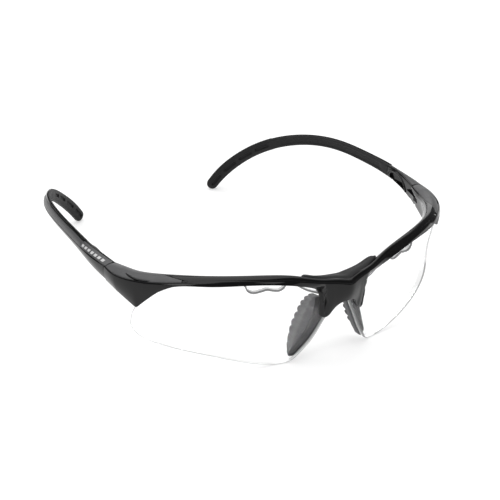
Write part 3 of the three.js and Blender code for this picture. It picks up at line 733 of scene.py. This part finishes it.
def liner_ring(at, squeeze):
    """Section of the rubber on the wearer's side of the shell."""
    s = Section(at)
    far, near = -s.half, SEAM - 0.15
    tall, low_side = (s.top - 0.12) * squeeze, (s.top - 0.6) * squeeze
    run = smoothstep(PAD_START + 3, PAD_START + 6, at)
    run *= 1 - smoothstep(SLEEVE_START - 7, SLEEVE_START - 3, at)
    corners = [((near, -tall), 0.12), ((near, 0), 0), ((near, tall), 0.12), ((far, low_side), 0.5)]
    for k in range(1, 24):
        u = low_side * 0.82 * (1 - 2 * k / 24)
        sunk = CHANNEL_DEPTH * run * (1 - smoothstep(CHANNEL_HALF - 0.18, CHANNEL_HALF + 0.18, abs(u)))
        corners.append(((far + sunk, u), 0))
    corners.append(((far, -low_side), 0.5))
    return [s.point(*p) for p in rounded(corners)]


def slot_relief(at, u):
    """Depth of the slots at a distance along the temple and a height on its inner side."""
    back = TEMPLE_LENGTH - at
    depth = 0.0
    for middle, length in zip(SLOT_MIDDLES, SLOT_LENGTHS):
        straight = max(0.0, length / 2 - SLOT_HALF)
        away = math.hypot(max(0.0, abs(back - middle) - straight), u)
        depth = max(depth, SLOT_DEPTH * (1 - smoothstep(SLOT_HALF - 0.16, SLOT_HALF + 0.14, away)))
    return depth


def sleeve_ring(at, squeeze):
    """Section of the rubber that closes round the tip."""
    s = Section(min(at, TEMPLE_LENGTH - 0.06))
    left = np.clip((TEMPLE_LENGTH - at) / TIP_ROUND, 0, 1)
    close = max(0.03, math.sqrt(1 - (1 - left) ** 2)) * squeeze
    points = []
    for k in range(SLEEVE_SIDES):
        angle = 2 * math.pi * k / SLEEVE_SIDES
        c, d = math.cos(angle), math.sin(angle)
        o = s.half * close * math.copysign(abs(c) ** 0.72, c)
        u = s.top * close * math.copysign(abs(d) ** 0.9, d)
        if c < 0 and left >= 1:
            o += slot_relief(at, u)
        points.append(s.point(o, u))
    return points


def temple_rubber():
    stops = np.concatenate([[PAD_START], np.linspace(PAD_START + 0.15, SLEEVE_START + 0.8, 170)])
    rings = [liner_ring(at, 0.94 if i == 0 else 1.0) for i, at in enumerate(stops)]
    liner = loft("temple_rubber_left", rings)
    straight = np.arange(SLEEVE_START, TEMPLE_LENGTH - TIP_ROUND, 0.2)
    closing = TEMPLE_LENGTH - TIP_ROUND * (1 - np.sin(np.linspace(0, math.pi / 2, 14)))
    stops = np.concatenate([straight, closing])
    rings = [sleeve_ring(at, 0.93 if i == 0 else 1.0) for i, at in enumerate(stops)]
    sleeve = loft("sleeve", rings)
    return join(liner, sleeve)


def join(first, *others):
    """Puts the other objects' meshes into the first."""
    made = bmesh.new()
    for one in (first, *others):
        made.from_mesh(one.data)
    made.to_mesh(first.data)
    made.free()
    for one in others:
        bpy.data.objects.remove(one)
    first.data.set_sharp_from_angle(angle=math.radians(38))
    return first


def side_prism(name, outline, low, high):
    """A prism on an outline in y and z, along x."""
    n = len(outline)
    points = [(low, y, z) for y, z in outline] + [(high, y, z) for y, z in outline]
    faces = [tuple(range(n)), tuple(range(2 * n - 1, n - 1, -1))]
    faces += [(i, (i + 1) % n, n + (i + 1) % n, n + i) for i in range(n)]
    return mesh_object(name, points, faces)


# A hollow on the wearer's side behind the hinge, with a curved rib over it. Points are y and z.
HOLLOW = [
    (5.2, -3.9), (16.2, -3.3), (17.3, -1.9), (16.4, -0.5),
    (12.6, 0.1), (9.6, -0.5), (7.4, -1.6), (6, -2.8),
]
HOLLOW_FLOOR = 66.3
RIB = [
    (18.2, -1.6), (17.2, -0.1), (14.6, 0.75), (11.6, 0.75),
    (9, 0.1), (6.9, -1.2), (5.3, -3), (4.7, -4.3),
]
RIB_SIDES = 12
WALL = [(4, 64.2), (8, 64.85), (12, 65.15), (18.5, 65.42)]  # y, and x of the temple's inner side there


def rib():
    line = Spline(chord(RIB), RIB)
    rings = []
    for at in np.linspace(0, chord(RIB)[-1], 46):
        (y, z), (dy, dz) = line(at), unit(line(at + 0.05) - line(at - 0.05))
        x = ramp(WALL, y) + 0.1
        ring = []
        for k in range(RIB_SIDES):
            angle = 2 * math.pi * k / RIB_SIDES
            across, out = 0.4 * math.cos(angle), 0.5 * math.sin(angle)
            ring.append((x - out, y - dz * across, z + dy * across))
        rings.append(ring)
    return loft("rib", rings)


def temple_shell():
    body = temple_body()
    soft = rounded([(np.array(p, float), 0.6) for p in HOLLOW], steps=3)
    carve(body, side_prism("hollow", soft, 60, HOLLOW_FLOOR))
    return join(body, hinge_eye(), rib())


# ------------------------ pads
# Height, azimuth of the lens's nose edge, azimuth of the crease, wing tip x and y.
NOSE_PAD = [
    (-8, -2, 2.2, 8.4, -40.5), (-11.5, -2.1, 2.4, 8.4, -37), (-14.5, -1.2, 3, 8.7, -35),
    (-18.5, 0.4, 4.2, 9.8, -33.9), (-22.8, 2.2, 5.8, 11.2, -33.2), (-26.6, 4.1, 7.4, 12.4, -33.7),
    (-29.8, 6.1, 9, 13.8, -35.2), (-31.6, 7.2, 9.6, 14.3, -37.4), (-32.5, 7.9, 9.7, 13.9, -39),
]
PAD_TOP, PAD_FOOT = 8, 32.5  # depths below the joint line
PAD_STEP = 0.13
PAD_THICK = 1.5
LIP_WIDTH, LIP_REACH = 0.95, 0.8  # the pad's lip round the nose edge of the lens
LIP_GAP = 0.12  # degrees between that lip and the lens
RIB_PITCH = 2.75
RIB_START = -9.2
SCALLOP = 2.3  # how far the round bumps stand out from the wing's edge


def pad_close(depth):
    """How far a section is drawn together at the rounded top and foot."""
    top, foot = min((depth - PAD_TOP) / 0.8, 1), min((PAD_FOOT - depth) / 2.2, 1)
    close = 0.72 + 0.28 * math.sqrt(1 - (1 - top) ** 2)
    return min(close, 0.3 + 0.7 * math.sqrt(1 - (1 - foot) ** 2))


def nose_pad_ring(depth, edge, crease, tip_x, tip_y):
    """Section of a nose pad: a lip and a strip on the lens, and a ribbed wing behind the crease."""
    close = pad_close(depth)
    thick = PAD_THICK * close
    phase = ((depth + RIB_START) / RIB_PITCH) % 1.0
    bump = math.sqrt(max(0.0, 1 - abs(2 * phase - 1) ** 2.4))
    skin = LENS_INNER - 0.3
    outside = edge - math.degrees(LIP_WIDTH / LENS_INNER)
    front, corner = lens_point(outside, -depth, skin), lens_point(crease, -depth, skin)
    lip = [lens_point(a, -depth, LENS_INNER + LIP_REACH) for a in (outside, edge - LIP_GAP)]
    root = lens_point(edge - LIP_GAP, -depth, skin)
    tip = np.array([tip_x, tip_y, -depth])
    along = unit(tip - corner)
    tip = tip - along * SCALLOP * (1 - bump)
    wing = tip - corner
    side = np.array([along[1], -along[0], 0])
    seam = corner + unit(root - corner) * 0.45
    corners = [(lip[0], 0.35), (lip[1], 0.15), (root, 0), (seam + (corner - seam) * -0.5, 0)]
    corners += [(seam + np.array([0, 0.28, 0]), 0.1), (corner, 0.2)]
    for k in range(1, 12):
        t = k / 12
        dimple = 0.3 * math.exp(-(((t - 0.7) / 0.12) ** 2)) * smoothstep(0.6, 0.98, bump)
        corners.append((corner + wing * t + side * (thick / 2 * t - dimple), 0))
    corners += [(tip + side * thick / 2, 0.6), (tip - side * thick / 2, 0.6)]
    for k in range(7, 0, -1):
        t = k / 8
        notch = 0.6 * smoothstep(0.1, 0.6, t) * (1 - bump)
        corners.append((corner + wing * t - side * (thick * (1 - t / 2) - notch), 0))
    corners.append((corner - side * thick + np.array([0, thick * 0.4, 0]), 0.3))
    corners.append((front + np.array([0, thick, 0]), 0.5))
    ring = rounded(corners)
    if close < 1:
        middle = np.mean(ring, axis=0)
        ring = [middle + (p - middle) * np.array([close, close, 1]) for p in ring]
    return ring


def nose_pad():
    rail = Spline([-row[0] for row in NOSE_PAD], NOSE_PAD)
    fine = np.arange(PAD_TOP + 0.12, PAD_FOOT - PAD_STEP - 0.01, PAD_STEP)
    depths = [PAD_TOP, *fine, PAD_FOOT - 0.1, PAD_FOOT]
    return loft("nose_pad_rubber_left", [nose_pad_ring(depth, *rail(depth)[1:]) for depth in depths])


# x; y and z of the front edge and of the top; y of the rear face; height of the underside.
BROW_PAD = [
    (0, -52.2, 0.6, -49.8, 1.1, -44.3, -1.6),
    (2.2, -51.6, 0.8, -49.3, 1.3, -44.3, -1.45),
    (4.5, -50.9, 1, -48.6, 1.5, -44.2, -1.2),
    (9, -49.3, 1.6, -47.4, 2, -43.9, -0.2),
    (13, -47.6, 2.3, -46.2, 2.75, -43.5, 0.8),
    (15, -46.8, 2.7, -45.6, 3.15, -43.9, 1.6),
]


def brow_pad_ring(x, end, front_y, front_z, top_y, top_z, rear_y, bottom_z):
    """Section of the brow pad at x, drawn together towards its two ends."""
    left = min(1, (end - abs(x)) / 1.3)
    close = max(0.55, math.sqrt(1 - (1 - left) ** 2))
    fall = 1.5 - 0.8 * float(smoothstep(8, 14, abs(x)))
    middle_z = (top_z + bottom_z) / 2
    corners = [
        ((x, front_y, front_z), 0.35),
        ((x, (front_y + top_y) / 2, (front_z + top_z) / 2 + 0.35), 0.5),
        ((x, top_y, top_z), 0.8),
        ((x, rear_y - 0.3, top_z - fall), 0.8),
        ((x, rear_y, middle_z - 0.3), 0.6),
        ((x, rear_y - 0.4, bottom_z), 0.5),
        ((x, front_y + 0.9, bottom_z), 0.2),
    ]
    middle = np.array([x, (front_y + rear_y) / 2, middle_z])
    return [middle + (p - middle) * np.array([1, close, close]) for p in rounded(corners)]


def brow_pad():
    rows = np.array(BROW_PAD, float)
    knots = np.concatenate([-rows[:0:-1, 0], rows[:, 0]])
    rail = Spline(knots, np.vstack([rows[:0:-1, 1:], rows[:, 1:]]))
    end = rows[-1, 0]
    places = [-end, *np.linspace(-end + 0.12, end - 0.12, 150), end]
    return loft("brow_pad_rubber", [brow_pad_ring(x, end, *rail(x)) for x in places])


# ------------------------ materials
def new_material(name):
    made = bpy.data.materials.new(name)
    made.use_nodes = True
    nodes, links = made.node_tree.nodes, made.node_tree.links
    return made, nodes, links, nodes["Principled BSDF"]


def noise(nodes, links, coords, scale, detail=3.0, rough=0.5):
    made = nodes.new("ShaderNodeTexNoise")
    made.inputs["Scale"].default_value = scale
    made.inputs["Detail"].default_value = detail
    made.inputs["Roughness"].default_value = rough
    links.new(coords, made.inputs["Vector"])
    return made.outputs["Fac"]


def spread(nodes, links, value, low, high):
    """The noise's middle values spread over a range."""
    made = nodes.new("ShaderNodeMapRange")
    made.inputs["From Min"].default_value = 0.3
    made.inputs["From Max"].default_value = 0.7
    made.inputs["To Min"].default_value = low
    made.inputs["To Max"].default_value = high
    links.new(value, made.inputs["Value"])
    return made.outputs["Result"]


def colours(nodes, links, factor, dark, light):
    made = nodes.new("ShaderNodeMix")
    made.data_type = "RGBA"
    made.inputs["A"].default_value = (*dark, 1)
    made.inputs["B"].default_value = (*light, 1)
    links.new(factor, made.inputs["Factor"])
    return made.outputs["Result"]


def moulded(name, dark, light, roughness, grain, bump, level=0.5, metal=0.0):
    """A moulded or turned surface: colour, roughness and a fine grain vary over it."""
    made, nodes, links, shader = new_material(name)
    coords = nodes.new("ShaderNodeTexCoord").outputs["Object"]
    broad = noise(nodes, links, coords, 160)
    fine = noise(nodes, links, coords, grain, 4.0, 0.6)
    shader.inputs["Specular IOR Level"].default_value = level
    shader.inputs["Metallic"].default_value = metal
    shade = colours(nodes, links, spread(nodes, links, broad, 0, 1), dark, light)
    links.new(shade, shader.inputs["Base Color"])
    links.new(spread(nodes, links, fine, *roughness), shader.inputs["Roughness"])
    lift = nodes.new("ShaderNodeBump")
    lift.inputs["Strength"].default_value = bump
    lift.inputs["Distance"].default_value = 0.00005
    links.new(fine, lift.inputs["Height"])
    links.new(lift.outputs["Normal"], shader.inputs["Normal"])
    return made


def maths(nodes, links, operation, first, second):
    made = nodes.new("ShaderNodeMath")
    made.operation = operation
    for socket, value in zip(made.inputs, (first, second)):
        if isinstance(value, (int, float)):
            socket.default_value = value
        else:
            links.new(value, socket)
    return made.outputs[0]


DASH_PITCH, DASH_LENGTH = 2.3, 1.5
DASHES = (4.6, 20.7)  # where along the temple the row lies
DASH_ACROSS = (0.23, 0.38)  # share of the way round the panel's section


def printed(base, name):
    """The satin trim with a plain row of short pale dashes near the hinge."""
    made = base.copy()
    made.name = name
    nodes, links = made.node_tree.nodes, made.node_tree.links
    shader = nodes["Principled BSDF"]
    split = nodes.new("ShaderNodeSeparateXYZ")
    uv = nodes.new("ShaderNodeUVMap")
    uv.uv_map = "uv"
    links.new(uv.outputs["UV"], split.inputs[0])
    along, across = split.outputs[0], split.outputs[1]
    tests = [
        maths(nodes, links, "LESS_THAN", maths(nodes, links, "MODULO", along, DASH_PITCH), DASH_LENGTH),
        maths(nodes, links, "GREATER_THAN", along, DASHES[0]),
        maths(nodes, links, "LESS_THAN", along, DASHES[1]),
        maths(nodes, links, "GREATER_THAN", across, DASH_ACROSS[0]),
        maths(nodes, links, "LESS_THAN", across, DASH_ACROSS[1]),
    ]
    mask = tests[0]
    for test in tests[1:]:
        mask = maths(nodes, links, "MULTIPLY", mask, test)
    mix = nodes.new("ShaderNodeMix")
    mix.data_type = "RGBA"
    links.new(mask, mix.inputs["Factor"])
    links.new(shader.inputs["Base Color"].links[0].from_socket, mix.inputs["A"])
    mix.inputs["B"].default_value = (0.55, 0.55, 0.55, 1)
    links.new(mix.outputs["Result"], shader.inputs["Base Color"])
    return made


def clear(name, alpha, roughness, tint, through=1.0):
    """Clear plastic of which mostly the gloss shows, with a light haze in it."""
    made, nodes, links, shader = new_material(name)
    coords = nodes.new("ShaderNodeTexCoord").outputs["Object"]
    haze = noise(nodes, links, coords, 90, 2.0)
    shader.inputs["Base Color"].default_value = (*tint, 1)
    shader.inputs["Transmission Weight"].default_value = through
    shader.inputs["IOR"].default_value = 1.45
    links.new(spread(nodes, links, haze, *roughness), shader.inputs["Roughness"])
    links.new(spread(nodes, links, haze, *alpha), shader.inputs["Alpha"])
    return made


# Name, darker and lighter colour, range of roughness, scale of the grain and its strength.
gloss_black = moulded(
    "gloss_black", (0.0035, 0.0035, 0.0037), (0.005, 0.005, 0.0053), (0.1, 0.16), 900, 0.03, level=0.28
)
satin_grey = moulded(
    "satin_grey", (0.068, 0.068, 0.07), (0.08, 0.08, 0.082), (0.36, 0.46), 4200, 0.08, level=0.35
)
soft_rubber = moulded(
    "soft_rubber", (0.012, 0.012, 0.0125), (0.016, 0.016, 0.0165), (0.5, 0.64), 3200, 0.3, level=0.2
)
pad_rubber = moulded(
    "pad_rubber", (0.085, 0.085, 0.087), (0.11, 0.11, 0.113), (0.5, 0.66), 3000, 0.25, level=0.25
)
steel = moulded("turned_steel", (0.5, 0.5, 0.52), (0.62, 0.62, 0.64), (0.2, 0.36), 2600, 0.1, metal=1.0)
brass = moulded("turned_brass", (0.6, 0.44, 0.2), (0.74, 0.57, 0.3), (0.22, 0.38), 2600, 0.1, metal=1.0)
satin_printed = printed(satin_grey, "satin_grey_dashes")
# Name, range of alpha, range of roughness, tint.
clear_lens = clear("clear_lens", (0.05, 0.07), (0.0, 0.02), (0.97, 0.98, 0.98))
# A faint painted grey that makes the edge band less clear than the lens face.
lens_grey_edge_shade = clear("clear_lens_grey_edge_shade", (0.14, 0.2), (0.02, 0.06), (0.75, 0.77, 0.77))
# A painted dark line, standing in for the grey that a clear front edge shows by refraction.
lens_painted_shade_line = clear("clear_lens_painted_shade_line", (0.86, 0.94), (0.2, 0.3), (0.24, 0.243, 0.246), through=0.0)
# A painted pale highlight, standing in for the bright light seen through the top and nose edges.
lens_painted_highlight = clear("clear_lens_painted_highlight_edge", (0.6, 0.72), (0.1, 0.2), (0.94, 0.95, 0.95), through=0.0)
# The same painted line, fainter, on the temple end of the edge.
lens_painted_faint_shade = clear("clear_lens_painted_faint_shade_line", (0.45, 0.6), (0.2, 0.3), (0.4, 0.405, 0.41), through=0.0)


# ------------------------ assembly
def dress(piece, material, body, slot, *nodes):
    if not piece.data.materials:
        piece.data.materials.append(material)
    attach(piece, body)
    if nodes:
        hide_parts(*nodes)


front = loft("brow_bar_shell", front_rings())
seat = lens_solid("seat", 0.12)
cutters = [seat, slit_cutter(-1.0), *hinge_cutters()]
for cutter in cutters:
    other = mirror_copy(cutter, cutter.name + "_other")
    carve(front, cutter)
    carve(front, other)
dress(front, gloss_black, "front", "frame", "front_frame")
dress(brow_pad(), soft_rubber, "front", "rubber", "brow_pad")

lens = lens_solid("clear_lens_left")
for material in (clear_lens, lens_grey_edge_shade, lens_painted_shade_line, lens_painted_highlight, lens_painted_faint_shade):
    lens.data.materials.append(material)
pad = nose_pad()
panel = brow_panel()
carve(panel, slit_cutter(-3.0))
shell, strip, rubber = temple_shell(), temple_panel(), temple_rubber()
finishes = [
    (pad, pad_rubber),
    (panel, satin_grey),
    (shell, gloss_black),
    (strip, satin_grey),
    (rubber, soft_rubber),
]
for made, material in finishes:
    made.data.materials.append(material)

for side, sign in SIDES:
    temple = f"temple_{side}"
    parts = [
        (lens, "clear_lens", "front", "lens", f"lens_{side}"),
        (pad, "nose_pad_rubber", "front", "rubber", f"nose_pad_{side}"),
        (panel, "brow_trim_panel", "front", "trim", f"brow_inlay_{side}"),
        (shell, "temple_arm_shell", temple, "frame", f"temple_arm_{side}"),
        (strip, "temple_trim_panel", temple, "trim", f"temple_inlay_{side}"),
        (rubber, "temple_rubber", temple, "rubber", f"temple_pad_{side}"),
    ]
    for made, name, body, slot, node in parts:
        piece = made if sign > 0 else mirror_copy(made, f"{name}_right")
        if made is strip and sign < 0:
            piece.data.materials[0] = satin_printed
        dress(piece, None, body, slot, node)
    for node, metal in ((f"hinge_screw_{side}", steel), (f"hinge_insert_{side}", brass)):
        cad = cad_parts[node]
        cad.data.materials.clear()
        cad.data.materials.append(metal)

# ------------------------ studio
TARGET = place([-8.97, 0.06, -8.86])
AZIMUTH, ELEVATION, DISTANCE = math.radians(-30.447), math.radians(26.873), 0.5648
back = Vector(
    (math.sin(AZIMUTH) * math.cos(ELEVATION), -math.cos(AZIMUTH) * math.cos(ELEVATION), math.sin(ELEVATION))
)
camera = bpy.data.objects.new("camera", bpy.data.cameras.new("camera"))
camera.data.lens, camera.data.sensor_width = 110.2, 36.0
camera.location = Vector(TARGET) + back * DISTANCE
camera.rotation_mode = "QUATERNION"
camera.rotation_quaternion = (-back).to_track_quat("-Z", "Y")
bpy.context.scene.collection.objects.link(camera)
bpy.context.scene.camera = camera

FLOOR_HALF = 4
GLOW_FROM, GLOW_TO = 0.5, 1.5  # metres from the origin between which the glow grows
GLOW_NEAR, GLOW_FAR = 0.5, 1.0
floor_mesh = bpy.data.meshes.new("floor")
floor_turns = ((-1, -1), (1, -1), (1, 1), (-1, 1))
floor_corners = [(x * FLOOR_HALF, y * FLOOR_HALF, 0) for x, y in floor_turns]
floor_mesh.from_pydata(floor_corners, [], [(0, 1, 2, 3)])
floor = bpy.data.objects.new("floor", floor_mesh)
bpy.context.scene.collection.objects.link(floor)
floor_finish, floor_nodes, floor_links, floor_shader = new_material("floor")
floor_shader.inputs["Base Color"].default_value = (0.6, 0.6, 0.6, 1)
floor_shader.inputs["Emission Color"].default_value = (1, 1, 1, 1)
# Far from the lamps the floor glows a little more, so that it stays pale up to the horizon.
away = floor_nodes.new("ShaderNodeVectorMath")
away.operation = "LENGTH"
floor_links.new(floor_nodes.new("ShaderNodeTexCoord").outputs["Object"], away.inputs[0])
glow = floor_nodes.new("ShaderNodeMapRange")
glow.inputs["From Min"].default_value = GLOW_FROM
glow.inputs["From Max"].default_value = GLOW_TO
glow.inputs["To Min"].default_value = GLOW_NEAR
glow.inputs["To Max"].default_value = GLOW_FAR
floor_links.new(away.outputs["Value"], glow.inputs["Value"])
floor_links.new(glow.outputs["Result"], floor_shader.inputs["Emission Strength"])
floor_shader.inputs["Roughness"].default_value = 0.9
floor_shader.inputs["Specular IOR Level"].default_value = 0.1
floor_mesh.materials.append(floor_finish)


def area_light(name, place_at, size, power, aim=(0, -0.02, 0.02)):
    data = bpy.data.lights.new(name, "AREA")
    data.shape, data.size, data.size_y, data.energy = "RECTANGLE", size[0], size[1], power
    made = bpy.data.objects.new(name, data)
    made.location = place_at
    made.rotation_mode = "QUATERNION"
    made.rotation_quaternion = (Vector(aim) - Vector(place_at)).to_track_quat("-Z", "Y")
    bpy.context.scene.collection.objects.link(made)


area_light("overhead", (0.0, 0.2, 1.3), (2.2, 2.2), 30)
area_light("left", (-0.9, -0.35, 0.5), (0.25, 0.7), 2)
area_light("behind", (0.52, 1.0, 0.3), (0.8, 0.36), 1.1)
area_light("right", (1.0, -0.2, 0.12), (0.5, 0.3), 1.2)

# The camera sees a plain white world; every other ray meets a dim one.
WORLD_GLOW = 0.14
world = bpy.data.worlds.new("studio")
world.use_nodes = True
world.node_tree.nodes["Background"].inputs["Color"].default_value = (1, 1, 1, 1)
world_nodes, world_links = world.node_tree.nodes, world.node_tree.links
world_nodes["Background"].inputs["Strength"].default_value = WORLD_GLOW
plain = world_nodes.new("ShaderNodeBackground")
mixed = world_nodes.new("ShaderNodeMixShader")
world_links.new(world_nodes.new("ShaderNodeLightPath").outputs["Is Camera Ray"], mixed.inputs[0])
world_links.new(world_nodes["Background"].outputs[0], mixed.inputs[1])
world_links.new(plain.outputs[0], mixed.inputs[2])
world_links.new(mixed.outputs[0], world_nodes["World Output"].inputs["Surface"])
plain.inputs["Color"].default_value = (1, 1, 1, 1)
bpy.context.scene.world = world
bpy.context.scene.view_settings.view_transform = "Standard"
